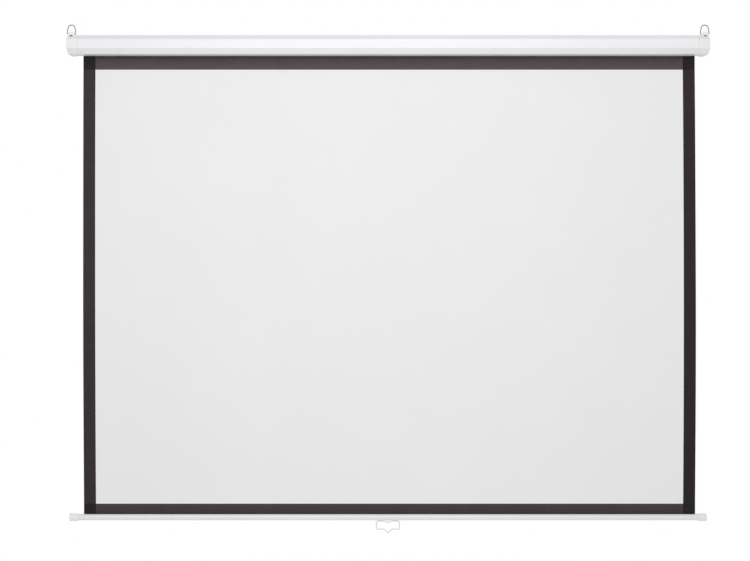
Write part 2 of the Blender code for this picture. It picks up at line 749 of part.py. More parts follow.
def make_pawl(letter, turn, roller_axis, materials):
    """One pawl on its headed pin. The second is half a turn round from the first."""
    near = latch_stations()["plate"]
    outer = near + LATCH_PLATE + FIT
    pivot = (0.0, 0.0, turn * pawl_pivot())
    head = outer + PAWL_THICKNESS + FIT
    radius = PAWL_PIN_RADIUS
    profile = [
        (-near, 0.0),
        (-near, radius),
        (-head, radius),
        (-head, radius + PAWL_EYE_WALL),
        (-head - PIN_HEAD, radius + PAWL_EYE_WALL),
        (-head - PIN_HEAD, 0.0),
    ]
    turned(f"pawl_pin_{letter}", profile, materials["bright_steel"], roller_axis, pivot, sides=12)
    axis = frame_at(f"pawl_{letter}_axis", pivot, roller_axis)
    axis.rotation_euler = (0.0 if turn > 0 else math.pi, 0.0, 0.0)
    x = ordered(-1, outer, outer + PAWL_THICKNESS)
    pawl = prism(f"pawl_{letter}", pawl_outline(), *x, materials["bright_steel"], axis)
    hole = (x[0] - THROUGH, x[1] + THROUGH)
    tool = rod(f"pawl_{letter}_hole", hole, radius + FIT, None, axis, sides=12)
    cut(pawl, tool)


# Roller, spring and idler


def make_roller(roller_axis, materials):
    """The roller tube and its two plugs."""
    inner = ROLLER_RADIUS - ROLLER_WALL
    tube = sleeve(
        "roller_tube", (TUBE_LEFT, TUBE_RIGHT), inner, ROLLER_RADIUS, materials["roller_steel"]
    )
    tube.parent = roller_axis
    barrel = inner - FIT
    bore = SPINDLE_RADIUS + FIT
    left = [
        (TUBE_LEFT - FIT - PLUG_FLANGE, bore),
        (TUBE_LEFT - FIT - PLUG_FLANGE, ROLLER_RADIUS),
        (TUBE_LEFT - FIT, ROLLER_RADIUS),
        (TUBE_LEFT - FIT, barrel),
        (TUBE_LEFT + PLUG_DEPTH, barrel),
        (TUBE_LEFT + PLUG_DEPTH, SPRING_SEAT_RADIUS),
        (TUBE_LEFT + PLUG_DEPTH + SPRING_SEAT_LENGTH, SPRING_SEAT_RADIUS),
        (TUBE_LEFT + PLUG_DEPTH + SPRING_SEAT_LENGTH, bore),
    ]
    turned("left_roller_plug", left, materials["nylon"], roller_axis, sides=TUBE_SIDES)
    bore = IDLER_RADIUS + FIT
    right = [
        (TUBE_RIGHT - PLUG_DEPTH, bore),
        (TUBE_RIGHT - PLUG_DEPTH, barrel),
        (TUBE_RIGHT + FIT, barrel),
        (TUBE_RIGHT + FIT, ROLLER_RADIUS),
        (TUBE_RIGHT + FIT + PLUG_FLANGE, ROLLER_RADIUS),
        (TUBE_RIGHT + FIT + PLUG_FLANGE, bore),
    ]
    turned("right_roller_plug", right, materials["nylon"], roller_axis, sides=TUBE_SIDES)


def make_spring(spindle_inner_end, materials):
    """The torsion spring, round the left plug's seat at one end and the anchor hub at the other."""
    place_y = (0.0, ROLLER_Y, 0.0)
    hub = (spindle_inner_end - SPRING_SEAT_LENGTH - SPINDLE_RADIUS, spindle_inner_end - SPINDLE_RADIUS)
    anchor = sleeve(
        "spring_anchor_hub", hub, SPINDLE_RADIUS + FIT, SPRING_SEAT_RADIUS, materials["zinc_steel"]
    )
    anchor.location = place_y
    start = TUBE_LEFT + PLUG_DEPTH + SPRING_WIRE + FIT
    end = hub[1] - SPRING_WIRE
    radius = SPRING_SEAT_RADIUS + FIT + SPRING_WIRE
    radius /= math.cos(math.pi / CURL_STEPS)
    count = SPRING_CURLS * CURL_STEPS
    points = []
    for step in range(count + 1):
        angle = math.tau * step / CURL_STEPS
        x = start + (end - start) * step / count
        points.append((x, ROLLER_Y + radius * math.cos(angle), radius * math.sin(angle)))
    wire("torsion_spring", points, SPRING_WIRE, materials["bright_steel"], None, resolution=1)


def make_idler(roller_axis, materials, bracket):
    """The pin in the right plug, which turns in a nylon bush in the right bracket."""
    end = BRACKET_OUTER + IDLER_PAST_BRACKET
    start = TUBE_RIGHT - IDLER_IN_PLUG
    rod("idler_pin", (start, end), IDLER_RADIUS, materials["bright_steel"], roller_axis)
    bore = IDLER_RADIUS + FIT
    barrel = bore + BUSH_WALL
    profile = [
        (BRACKET_INNER - FIT - BUSH_FLANGE, bore),
        (BRACKET_INNER - FIT - BUSH_FLANGE, barrel + BUSH_FLANGE_WIDTH),
        (BRACKET_INNER - FIT, barrel + BUSH_FLANGE_WIDTH),
        (BRACKET_INNER - FIT, barrel),
        (BRACKET_OUTER + FIT, barrel),
        (BRACKET_OUTER + FIT, bore),
    ]
    place_y = (0.0, ROLLER_Y, 0.0)
    turned("idler_bush", profile, materials["nylon"], location=place_y)
    x = (BRACKET_INNER - THROUGH, BRACKET_OUTER + THROUGH)
    cut(bracket, rod("right_bracket_hole", x, barrel + FIT, location=place_y))


# Fabric


def make_wraps(roller_axis, materials):
    """The turns of fabric that stay on the roller, ending where the hanging sheet starts."""
    outline = []
    count = TURNS_LEFT_ON_ROLLER * WRAP_STEPS
    for face in (FABRIC / 2, -FABRIC / 2):
        points = []
        for step in range(count + 1):
            angle = math.tau * step / WRAP_STEPS
            radius = OUTER_WRAP - WRAP_PITCH * step / WRAP_STEPS + face
            points.append((radius * math.cos(angle), radius * math.sin(angle)))
        outline += points if face > 0 else points[::-1]
    x = (FABRIC_LEFT, FABRIC_RIGHT)
    prism("fabric_on_roller", outline, *x, materials["screen_black"], roller_axis)


def make_sheet(materials):
    """The hanging sheet and the black bands printed over its front."""
    x = (FABRIC_LEFT, FABRIC_RIGHT)
    front = FABRIC_Y - FABRIC / 2
    sheet_y = (front, FABRIC_Y + FABRIC / 2)
    block("screen_sheet", x, sheet_y, (SHEET_BOTTOM, -FIT), materials["screen_white"])
    start = -BAND_START_BELOW_ROLLER
    side_y = (front - FIT - BAND_COAT, front - FIT)
    cross_y = (side_y[0] - FIT - BAND_COAT, side_y[0] - FIT)
    black = materials["screen_black"]
    block("left_side_band", (x[0], x[0] + SIDE_BAND), side_y, (SHEET_BOTTOM, start), black)
    block("right_side_band", (x[1] - SIDE_BAND, x[1]), side_y, (SHEET_BOTTOM, start), black)
    view_top = -HALF_HEIGHT - TOP_BAND_BELOW_CASE
    block("top_band", x, cross_y, (view_top, start), black)
    block("bottom_band", x, cross_y, (SHEET_BOTTOM, view_top - VIEW_HEIGHT), black)


def hem_centre():
    """Height of the hem rod over the bar's axis: its loop hangs just under the slot's edges."""
    loop = HEM_ROD_RADIUS + FIT + FABRIC
    half_slot = BAR_SLOT / 2
    slot_edge = math.sqrt((BAR_RADIUS - BAR_WALL) ** 2 - half_slot**2)
    return slot_edge - math.sqrt((loop + FIT) ** 2 - half_slot**2)


def make_hem(bar_axis, materials):
    """The fabric's hem, folded round a rod inside the bar."""
    centre = hem_centre()
    x = (FABRIC_LEFT, FABRIC_RIGHT)
    rod_place = (0.0, 0.0, centre)
    rod("hem_rod", x, HEM_ROD_RADIUS, materials["nylon"], bar_axis, rod_place, sides=12)
    inner = (HEM_ROD_RADIUS + FIT) / math.cos(math.pi / SMALL_SIDES)
    outer = inner + FABRIC
    seam = HEM_SEAM_GAP / 2
    outline = []
    for radius, half in ((outer, seam + FABRIC), (inner, seam)):
        lean = math.asin(half / radius)
        start, end = math.pi / 2 + lean, math.tau + math.pi / 2 - lean
        loop = arc(radius, start, end, SMALL_SIDES, centre=(0.0, centre))
        side = [(-half, HEM_TOP), *loop, (half, HEM_TOP)]
        outline += side if radius == outer else side[::-1]
    prism("fabric_hem", outline, *x, materials["screen_black"], bar_axis)


# Bottom bar and pull handle


def make_bar(bar_axis, materials):
    """The round bar, slotted along its top for the fabric."""
    inner = BAR_RADIUS - BAR_WALL
    outline = []
    for radius in (BAR_RADIUS, inner):
        lean = math.asin(BAR_SLOT / 2 / radius)
        points = arc(radius, math.pi / 2 + lean, math.tau + math.pi / 2 - lean, TUBE_SIDES)
        outline += points if radius == BAR_RADIUS else points[::-1]
    x = (-BAR_TUBE_HALF, BAR_TUBE_HALF)
    bar = prism("bottom_bar", outline, *x, materials["bar_paint"], bar_axis)
    bar.data.shade_smooth()
    bar.data.set_sharp_from_angle(angle=math.radians(35))
    screw_hole(bar, "bar_screw_hole", *clip_screw_seat(), CLIP_SCREW_LENGTH, bar_axis)


def make_bar_cap(word, side, bar_axis, materials):
    """A flared cap over one end of the bar."""
    bore = BAR_RADIUS + FIT
    mouth = bore + BAR_CAP_WALL
    wide = mouth + BAR_CAP_FLARE
    inner_end = BAR_HALF_LENGTH - BAR_CAP_LENGTH
    edge_start = BAR_HALF_LENGTH - BAR_CAP_EDGE
    profile = [
        (inner_end, bore),
        (inner_end, mouth),
        (inner_end + 2 * BAR_CAP_WALL, mouth + BAR_CAP_FLARE / 4),
    ]
    for step in range(ROUND_STEPS + 1):
        angle = math.radians(90) * step / ROUND_STEPS
        x = edge_start + BAR_CAP_EDGE * math.sin(angle)
        profile.append((x, wide - BAR_CAP_EDGE * (1 - math.cos(angle))))
    profile += [
        (BAR_HALF_LENGTH, 0.0),
        (BAR_HALF_LENGTH - BAR_CAP_END, 0.0),
        (BAR_HALF_LENGTH - BAR_CAP_END, bore),
    ]
    profile = [(side * x, radius) for x, radius in profile]
    split = profile.index((side * BAR_HALF_LENGTH, 0.0)) + 1
    profile = profile[split:] + profile[:split]
    turned(f"{word}_bar_cap", profile, materials["cap_plastic"], bar_axis, sides=24)


def clip_screw_seat():
    """Where the clip's screw sits, under the middle of the clip."""
    floor = HANDLE_PIVOT - HANDLE_WIRE - FIT - CLIP_FLOOR
    return Vector((0.0, 0.0, floor - FIT)), (0.0, 0.0, -1.0)


def make_clip(bar_axis, materials):
    """The clip under the bar, with a groove in each end for the handle's wire."""
    floor = HANDLE_PIVOT - HANDLE_WIRE - FIT - CLIP_FLOOR
    corners = [
        (-CLIP_HALF_DEPTH, 0.0),
        (-CLIP_HALF_DEPTH, floor),
        (CLIP_HALF_DEPTH, floor),
        (CLIP_HALF_DEPTH, 0.0),
    ]
    outline = rounded(corners, [0, HANDLE_WIRE, HANDLE_WIRE, 0], closed=True)
    x = (-CLIP_HALF_WIDTH, CLIP_HALF_WIDTH)
    clip = prism("handle_clip", outline, *x, materials["cap_plastic"], bar_axis)
    through = (x[0] - THROUGH, x[1] + THROUGH)
    cut(clip, rod("clip_saddle", through, BAR_RADIUS + FIT, None, bar_axis, sides=48))
    groove = HANDLE_WIRE + FIT
    for side, word in ((-1, "left"), (1, "right")):
        arch = arc(groove, math.pi, math.tau, 8, centre=(0.0, HANDLE_PIVOT))
        outline = [*arch, (groove, 0.0), (-groove, 0.0)]
        near = CLIP_HALF_WIDTH - HANDLE_IN_CLIP
        x = ordered(side, near - FIT, CLIP_HALF_WIDTH + THROUGH)
        cut(clip, prism(f"clip_{word}_groove", outline, *x, None, bar_axis))
    seat, outward = clip_screw_seat()
    screw_hole(clip, "clip_screw_hole", seat, outward, CLIP_SCREW_LENGTH, bar_axis)
    screw("clip_screw", seat, outward, CLIP_SCREW_LENGTH, materials["bar_paint"], bar_axis)


def make_handle(handle_axis, materials):
    """The wire handle: a wide loop with a pointed dip in the middle of its grip."""
    foot = CLIP_HALF_WIDTH - HANDLE_IN_CLIP
    corners = [
        (foot, 0.0),
        (HANDLE_HALF_WIDTH - HANDLE_CORNER_ACROSS, 0.0),
        (HANDLE_HALF_WIDTH, -HANDLE_CORNER_DOWN),
        (HANDLE_HALF_WIDTH, -HANDLE_DROP),
        (HANDLE_POINT_HALF, -HANDLE_DROP),
    ]
    mirrored = [(-x, z) for x, z in corners]
    tip = (0.0, -HANDLE_DROP - HANDLE_POINT_DROP)
    path = [*mirrored, tip, *corners[::-1]]
    points = [(x, 0.0, z) for x, z in rounded(path, HANDLE_BEND, steps=2)]
    wire("pull_handle", points, HANDLE_WIRE, materials["coated_wire"], handle_axis)


def make_ring(word, side, materials):
    """A hanging ring, its feet turned in to hook into the lug."""
    axis = frame_at(f"{word}_ring_axis", (side * LUG_X, LUG_Y, RING_PIVOT_Z))
    half = [
        (RING_FOOT_END, 0.0),
        (RING_FOOT_HALF, 0.0),
        (RING_FOOT_HALF, RING_SHOULDER_HEIGHT),
        (RING_TOP_HALF, RING_HEIGHT),
    ]
    path = [(-x, z) for x, z in half] + half[::-1]
    bends = [0, RING_FOOT_BEND, RING_TOP_BEND, RING_TOP_BEND]
    outline = rounded(path, bends + bends[::-1], steps=RING_BEND_STEPS)
    points = [(x, 0.0, z) for x, z in outline]
    wire(f"{word}_hanging_ring", points, RING_WIRE, materials["ring_steel"], axis)


# Whole object


def make_materials():
    """One material for each finish on the object."""
    return {
        "case_paint": make_material("case_paint", (0.86, 0.86, 0.88), 0.35),
        "cap_plastic": make_material("cap_plastic", (0.85, 0.84, 0.83), 0.45),
        "bar_paint": make_material("bar_paint", (0.80, 0.80, 0.81), 0.35),
        "screen_white": make_material("screen_white", (0.82, 0.82, 0.83), 0.9),
        "screen_black": make_material("screen_black", (0.03, 0.024, 0.026), 0.8),
        "coated_wire": make_material("coated_wire", (0.70, 0.70, 0.70), 0.4),
        "ring_steel": make_material("ring_steel", (0.20, 0.20, 0.21), 0.35, 1.0),
        "zinc_steel": make_material("zinc_steel", (0.62, 0.62, 0.60), 0.4, 1.0),
        "bright_steel": make_material("bright_steel", (0.60, 0.60, 0.62), 0.25, 1.0),
        "roller_steel": make_material("roller_steel", (0.55, 0.56, 0.57), 0.45, 1.0),
        "nylon": make_material("nylon", (0.72, 0.71, 0.66), 0.5),
    }


def clear_scene():
    for obj in list(bpy.data.objects):
        bpy.data.objects.remove(obj, do_unlink=True)


def main():
    clear_scene()
    materials = make_materials()
    roller_axis = frame_at("roller_axis", (0.0, ROLLER_Y, 0.0))
    bar_axis = frame_at("bar_axis", (0.0, FABRIC_Y, BAR_Z))
    handle_axis = frame_at("handle_axis", (0.0, 0.0, HANDLE_PIVOT), bar_axis)

    make_case(materials)
    brackets = {}
    for word, side in (("left", -1), ("right", 1)):
        make_end_cap(word, side, materials)
        make_cap_screw(word, side, materials)
        brackets[word] = make_bracket(word, side, materials)
        make_ring(word, side, materials)
        make_bar_cap(word, side, bar_axis, materials)

    spindle_inner_end = make_spindle(materials, brackets["left"])
    make_collar(materials)
    make_clip_ring(materials)
    make_latch_plate(roller_axis, materials)
    make_roller(roller_axis, materials)
    make_spring(spindle_inner_end, materials)
    make_idler(roller_axis, materials, brackets["right"])

    make_wraps(roller_axis, materials)
    make_sheet(materials)
    make_hem(bar_axis, materials)
    make_bar(bar_axis, materials)
    make_clip(bar_axis, materials)
    make_handle(handle_axis, materials)


main()
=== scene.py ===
"""Looks for the pull-down projector screen: its finishes, the hanging fabric and the bent wire.

Metres, +Z up, with the origin in the middle of the case's back. The screen hangs over a pale floor.
"""

import json
import math

import bmesh
import bpy
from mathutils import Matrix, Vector


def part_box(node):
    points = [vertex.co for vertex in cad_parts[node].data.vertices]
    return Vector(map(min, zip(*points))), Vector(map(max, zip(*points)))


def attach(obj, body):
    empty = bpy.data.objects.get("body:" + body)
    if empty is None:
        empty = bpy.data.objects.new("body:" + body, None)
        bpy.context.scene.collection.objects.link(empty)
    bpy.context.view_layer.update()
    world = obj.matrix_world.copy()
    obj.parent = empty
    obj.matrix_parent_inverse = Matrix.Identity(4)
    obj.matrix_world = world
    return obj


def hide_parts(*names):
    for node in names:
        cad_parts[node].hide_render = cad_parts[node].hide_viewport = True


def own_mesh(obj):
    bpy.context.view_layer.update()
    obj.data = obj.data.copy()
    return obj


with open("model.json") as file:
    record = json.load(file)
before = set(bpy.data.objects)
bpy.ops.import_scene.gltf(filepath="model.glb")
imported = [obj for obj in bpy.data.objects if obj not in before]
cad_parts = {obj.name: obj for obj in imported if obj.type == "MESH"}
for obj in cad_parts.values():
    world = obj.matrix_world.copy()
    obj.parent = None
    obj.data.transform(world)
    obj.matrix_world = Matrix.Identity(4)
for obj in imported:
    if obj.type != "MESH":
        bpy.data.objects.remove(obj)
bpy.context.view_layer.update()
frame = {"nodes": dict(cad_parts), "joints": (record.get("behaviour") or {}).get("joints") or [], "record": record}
nodes = frame["nodes"]
joints = {joint["name"]: joint for joint in frame["joints"]}

MM = 0.001

# The photograph's view: its size in pixels, and the camera's place for it
PHOTO_WIDTH = 750
FOCAL_PIXELS = 1137.9
SENSOR_WIDTH = 36.0
CAMERA_DISTANCE = 3300 * MM
CAMERA_X = -37.7 * MM
CAMERA_Z = -677 * MM
CAMERA_REACH = 50.0

# Light levels, where 1 shows a colour about as it is written
AMBIENT = 0.62
FRONT_POWER = 30.5
FRONT_PLACE = (-100 * MM, -2600 * MM, 100 * MM)
FRONT_TARGET = (-100 * MM, 0.0, 100 * MM)
FRONT_SIZE = (2000 * MM, 1600 * MM)
REAR_POWER = 38.0
REAR_PLACE = (300 * MM, 3400 * MM, 1200 * MM)
REAR_SIZE = (3000 * MM, 2000 * MM)
SCREEN_CENTRE = (0.0, 0.0, -500 * MM)

# The floor shows some of the white background up to a radius, and passes into it from there
FLOOR_Z = -1750 * MM
FLOOR_RADIUS = 2600 * MM
FLOOR_CENTRE_Y = -1350 * MM
FLOOR_PLAIN_RADIUS = 500 * MM
FLOOR_WHITENESS = 0.4
FLOOR_SIDES = 128
FLOOR_COLOUR = (0.88, 0.88, 0.88)
FLOOR_ROUGHNESS = 0.8

# Hanging fabric. An edge strays from straight by its three shifts, at the top, middle and bottom.
FABRIC = 0.42 * MM
HEM_FLAP = 24 * MM
HEM_LAYER_GAP = 0.02 * MM
LEFT_EDGE_SHIFTS = (0.8 * MM, -0.6 * MM, 2.4 * MM)
RIGHT_EDGE_SHIFTS = (-1.5 * MM, 2.3 * MM, -0.4 * MM)
BACKWARD_BOW = 2.5 * MM
BOW_LOST_AT_EDGES = 0.3
EDGE_CURL = 1.2 * MM
EDGE_CURL_WIDTH = 60 * MM
EDGE_CURL_TURN = 7.0
RIPPLE = 0.35 * MM
RIPPLE_LENGTH = 420 * MM
RIPPLE_TURN = 3.0
SHEET_STEP = 22 * MM
HEM_TURN_STEPS = 28

# Bent wire: the hanging rings
RING_WIRE = 1.4 * MM
RING_FOOT_HALF = 12.1 * MM
RING_SHOULDER_HEIGHT = 7 * MM
RING_TOP_HALF = 8.2 * MM
RING_HEIGHT = 26 * MM
RING_TOP_BEND = 9.5 * MM
RING_FOOT_BEND = 2.2 * MM
RING_FOOT_END = 4.5 * MM

# Bent wire: the pull handle
HANDLE_WIRE = 1.75 * MM
HANDLE_HALF_WIDTH = 33.2 * MM
HANDLE_DROP = 23.6 * MM
HANDLE_CORNER_ACROSS = 4.6 * MM
HANDLE_CORNER_DOWN = 3.1 * MM
HANDLE_POINT_HALF = 11.7 * MM
HANDLE_POINT_DROP = 10.7 * MM
HANDLE_BEND = 2.2 * MM
HANDLE_FOOT = 4 * MM

# Torsion spring
SPRING_WIRE = 0.9 * MM
SPRING_CURLS = 22
SPRING_CURL_STEPS = 24
SPRING_SIDES = 12

# Every wire: how finely it is drawn, how much of a straight one bend may take up, and how long
# and how thin its softened ends are, as shares of its radius
WIRE_SIDES = 16
BEND_STEPS = 8
BEND_SHARE = 0.48
END_LENGTH_SHARE = 0.35
END_RADIUS_SHARE = 0.7

# End caps: the upper bevel, and the slot through it at the lug's foot
BEVEL_HEIGHT = 14.2 * MM
BEVEL_DEPTH = 17 * MM
FOOT_SLOT_WIDTH = 8.5 * MM
FOOT_SLOT_HEIGHT = 3.6 * MM
FOOT_SLOT_DROP = 2.4 * MM
FOOT_SLOT_DEPTH = 9 * MM
# The painted shade in the slot: how far under the bevel it starts, and how far past the slot's sides it reaches
SLOT_SHADE_DEPTH = 0.5 * MM
SLOT_SHADE_MARGIN = 0.05 * MM

# How wide the bevel is that breaks a node's sharp edges, and how close two points are to be one
EDGE_BREAK = {
    "case_shell": 0.12 * MM,
    "left_end_cap": 0.35 * MM,
    "right_end_cap": 0.35 * MM,
    "handle_clip": 0.4 * MM,
}
DEFAULT_EDGE_BREAK = 0.12 * MM
EDGE_BREAK_STEPS = 2
SMOOTH_ANGLE = math.radians(30)
WELD = 0.002 * MM

# Textures: their middle range, how rough noise is, and grain drawn out along the case
TEXTURE_RANGE = (0.3, 0.7)
NOISE_ROUGHNESS = 0.55
LONG_GRAIN = (0.15, 1.0, 1.0)
ROLL_MARKS = (0.1, 1.0, 1.0)
EMBOSSING = 0.7 * MM
EMBOSSING_DEPTH = 0.03 * MM


# Node materials


class Finish:
    """A Principled material under construction, in coordinates that are metres on the object."""

    def __init__(self, name, colour, roughness, metallic=0.0, specular=0.5):
        self.name = name
        self.material = bpy.data.materials.new(name)
        self.material.use_nodes = True
        self.tree = self.material.node_tree
        self.shader = self.tree.nodes["Principled BSDF"]
        self.set("Base Color", (*colour, 1.0))
        self.set("Roughness", roughness)
        self.set("Metallic", metallic)
        self.set("Specular IOR Level", specular)
        self.material.diffuse_color = (*colour, 1.0)
        self.where = self.add("ShaderNodeTexCoord").outputs["Object"]
        self.relief = None

    def set(self, socket, value):
        self.shader.inputs[socket].default_value = value

    def add(self, kind, **values):
        """A node with some of its properties or input sockets set."""
        node = self.tree.nodes.new(kind)
        for key, value in values.items():
            if hasattr(node, key):
                setattr(node, key, value)
            else:
                node.inputs[key.replace("_", " ")].default_value = value
        return node

    def link(self, source, target):
        self.tree.links.new(source, target)

    def calculate(self, operation, first, second=None):
        """One step of arithmetic on a value, with another value or a number where it needs one."""
        node = self.add("ShaderNodeMath", operation=operation)
        self.link(first, node.inputs[0])
        if isinstance(second, float):
            node.inputs[1].default_value = second
        elif second is not None:
            self.link(second, node.inputs[1])
        return node.outputs[0]

    def along_direction(self, direction):
        """How far a place lies along a direction, times the direction's own length."""
        product = self.add("ShaderNodeVectorMath", operation="DOT_PRODUCT")
        self.link(self.where, product.inputs[0])
        product.inputs[1].default_value = direction
        return product.outputs["Value"]

    def remapped(self, source, old, new=(0.0, 1.0), course="LINEAR"):
        """A value taken from one range to another."""
        remap = self.add("ShaderNodeMapRange", interpolation_type=course)
        remap.inputs["From Min"].default_value, remap.inputs["From Max"].default_value = old
        remap.inputs["To Min"].default_value, remap.inputs["To Max"].default_value = new
        self.link(source, remap.inputs["Value"])
        return remap.outputs["Result"]

    def stretched(self, scale):
        """Object coordinates stretched along an axis, for grain that runs one way."""
        mapping = self.add("ShaderNodeMapping")
        mapping.inputs["Scale"].default_value = scale
        self.link(self.where, mapping.inputs["Vector"])
        return mapping.outputs["Vector"]

    def noise(self, size, detail=3.0, stretch=None):
        """Noise whose features are about as large as size, in metres."""
        texture = self.add(
            "ShaderNodeTexNoise", Scale=1.0 / size, Detail=detail, Roughness=NOISE_ROUGHNESS
        )
        source = self.where if stretch is None else self.stretched(stretch)
        self.link(source, texture.inputs["Vector"])
        return texture.outputs["Fac"]

    def cells(self, size):
        """Rounded cells of about that size, in metres."""
        texture = self.add("ShaderNodeTexVoronoi", Scale=1.0 / size)
        self.link(self.where, texture.inputs["Vector"])
        return texture.outputs["Distance"]

    def vary_colour(self, source, colour, darkest, lightest):
        """Varies the base colour by a texture, between two factors of a colour."""
        ramp = self.add("ShaderNodeValToRGB")
        factors = (darkest, lightest)
        for element, position, factor in zip(ramp.color_ramp.elements, TEXTURE_RANGE, factors):
            element.position = position
            element.color = (*scaled(colour, factor), 1.0)
        self.link(source, ramp.inputs["Fac"])
        self.link(ramp.outputs["Color"], self.shader.inputs["Base Color"])

    def vary_roughness(self, source, roughness, smoother, rougher):
        """Varies the roughness by a texture, from so much smoother to so much rougher."""
        new = (roughness - smoother, roughness + rougher)
        self.link(self.remapped(source, TEXTURE_RANGE, new), self.shader.inputs["Roughness"])

    def between(self, start, end):
        """0 at one point and 1 at another, running evenly from the first to the second."""
        course = Vector(end) - Vector(start)
        reach = (Vector(start).dot(course), Vector(end).dot(course))
        return self.remapped(self.along_direction(course), reach)

    def shade(self, mask, colour):
        """Puts another base colour where a mask is 1, and blends to it in between."""
        base = self.shader.inputs["Base Color"]
        mix = self.add("ShaderNodeMixRGB", Color2=(*colour, 1.0))
        self.link(base.links[0].from_socket, mix.inputs["Color1"])
        self.link(mask, mix.inputs["Fac"])
        self.link(mix.outputs["Color"], base)

    def below(self, source, limit):
        """1 where a value is under a limit."""
        return self.calculate("LESS_THAN", source, limit)

    def within(self, source, centre, reach):
        """1 where a value lies within reach of a centre."""
        offset = self.calculate("SUBTRACT", source, centre)
        return self.below(self.calculate("ABSOLUTE", offset), reach)

    def all_of(self, masks):
        """1 where every mask is 1."""
        result = masks[0]
        for mask in masks[1:]:
            result = self.calculate("MULTIPLY", result, mask)
        return result

    def bump(self, source, depth, strength=1.0):
        """Adds relief, in metres, on top of any that is there."""
        node = self.add("ShaderNodeBump", Strength=strength, Distance=depth)
        self.link(source, node.inputs["Height"])
        if self.relief is not None:
            self.link(self.relief, node.inputs["Normal"])
        self.relief = node.outputs["Normal"]
        self.link(self.relief, self.shader.inputs["Normal"])


def scaled(colour, factor):
    return tuple(min(channel * factor, 1.0) for channel in colour)


def powder_coat(name, colour, roughness):
    """White paint baked on folded metal: fine orange peel and faint roll marks along it."""
    finish = Finish(name, colour, roughness)
    streaks = finish.noise(90 * MM, detail=2.0, stretch=LONG_GRAIN)
    finish.vary_colour(streaks, colour, darkest=0.975, lightest=1.015)
    finish.vary_roughness(finish.noise(14 * MM), roughness, smoother=0.05, rougher=0.07)
    finish.bump(finish.noise(60 * MM, detail=2.0, stretch=ROLL_MARKS), depth=0.02 * MM)
    finish.bump(finish.noise(1.1 * MM, detail=2.0), depth=0.012 * MM)
    finish.set("Coat Weight", 0.15)
    finish.set("Coat Roughness", 0.25)
    return finish


def moulded_plastic(name, colour, roughness):
    """White moulded plastic with a fine eroded texture."""
    finish = Finish(name, colour, roughness)
    finish.vary_colour(finish.noise(25 * MM), colour, darkest=0.97, lightest=1.01)
    specks = finish.noise(5 * MM, detail=2.0)
    finish.vary_roughness(specks, roughness, smoother=0.06, rougher=0.08)
    finish.bump(finish.noise(0.55 * MM), depth=0.03 * MM)
    return finish


def cap_moulding(name, colour, roughness, dark):
    """The end caps' plastic, with painted shade inside the slot at the lug's foot, where no light gets in."""
    finish = moulded_plastic(name, colour, roughness)
    case_low, case_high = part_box("case_shell")
    lug_x = joints["right_ring_swing"]["pos_m"][0]
    slant = Vector((0.0, -BEVEL_HEIGHT, BEVEL_DEPTH)).normalized()
    on_bevel = Vector((0.0, case_low.y + BEVEL_DEPTH, case_high.z))
    slot_y = on_bevel.y - FOOT_SLOT_DROP * BEVEL_DEPTH / BEVEL_HEIGHT
    slot_z = case_high.z - FOOT_SLOT_DROP
    parts = finish.add("ShaderNodeSeparateXYZ")
    finish.link(finish.where, parts.inputs[0])
    from_middle = finish.calculate("ABSOLUTE", parts.outputs["X"])
    sizes = (
        (from_middle, lug_x, FOOT_SLOT_WIDTH / 2),
        (parts.outputs["Y"], slot_y, FOOT_SLOT_DEPTH),
        (parts.outputs["Z"], slot_z, FOOT_SLOT_HEIGHT / 2),
    )
    masks = [
        finish.within(source, centre, reach + SLOT_SHADE_MARGIN) for source, centre, reach in sizes
    ]
    under_bevel = slant.dot(on_bevel) - SLOT_SHADE_DEPTH
    masks.append(finish.below(finish.along_direction(slant), under_bevel))
    # Painted shade: the near-black colour goes where all the slot's masks meet
    finish.shade(finish.all_of(masks), dark)
    return finish


def projection_white(name, colour, roughness):
    """Matt white coating, finely embossed."""
    finish = Finish(name, colour, roughness, specular=0.25)
    clouds = finish.noise(260 * MM, detail=2.0)
    finish.vary_colour(clouds, colour, darkest=0.99, lightest=1.005)
    finish.bump(finish.cells(EMBOSSING), EMBOSSING_DEPTH)
    finish.bump(finish.noise(180 * MM, detail=1.0), depth=0.6 * MM, strength=0.5)
    finish.set("Sheen Weight", 0.05)
    return finish


def coated_black(name, colour, roughness, specular, far_colour=None, start=None, end=None):
    """Matt black coating on the fabric, with a faint grain that catches the light.

    Where far_colour is given, the base colour runs from its colour at start to far_colour at end.
    """
    finish = Finish(name, colour, roughness, specular=specular)
    finish.vary_colour(finish.noise(45 * MM, detail=4.0), colour, darkest=0.88, lightest=1.12)
    finish.vary_roughness(finish.noise(8 * MM), roughness, smoother=0.06, rougher=0.08)
    finish.bump(finish.cells(EMBOSSING), EMBOSSING_DEPTH)
    # The blend is painted shade on the side and top borders; on the bottom border it darkens towards the bar
    if far_colour is not None:
        finish.shade(finish.between(start, end), far_colour)
    return finish


def plated_steel(name, colour, roughness, grain=None):
    """Plated or drawn steel. grain stretches its fine marks along one axis."""
    finish = Finish(name, colour, roughness, metallic=1.0)
    finish.vary_colour(finish.noise(9 * MM, detail=4.0), colour, darkest=0.9, lightest=1.08)
    marks = finish.noise(0.9 * MM, stretch=grain)
    finish.vary_roughness(marks, roughness, smoother=0.08, rougher=0.1)
    finish.bump(marks, depth=0.01 * MM)
    return finish


def galvanised(name, colour, roughness):
    """Zinc-coated tube with its spangle."""
    finish = Finish(name, colour, roughness, metallic=1.0)
    finish.vary_colour(finish.cells(9 * MM), colour, darkest=0.85, lightest=1.1)
    finish.vary_roughness(finish.noise(6 * MM), roughness, smoother=0.08, rougher=0.1)
    finish.bump(finish.noise(0.8 * MM, detail=2.0), depth=0.01 * MM)
    return finish


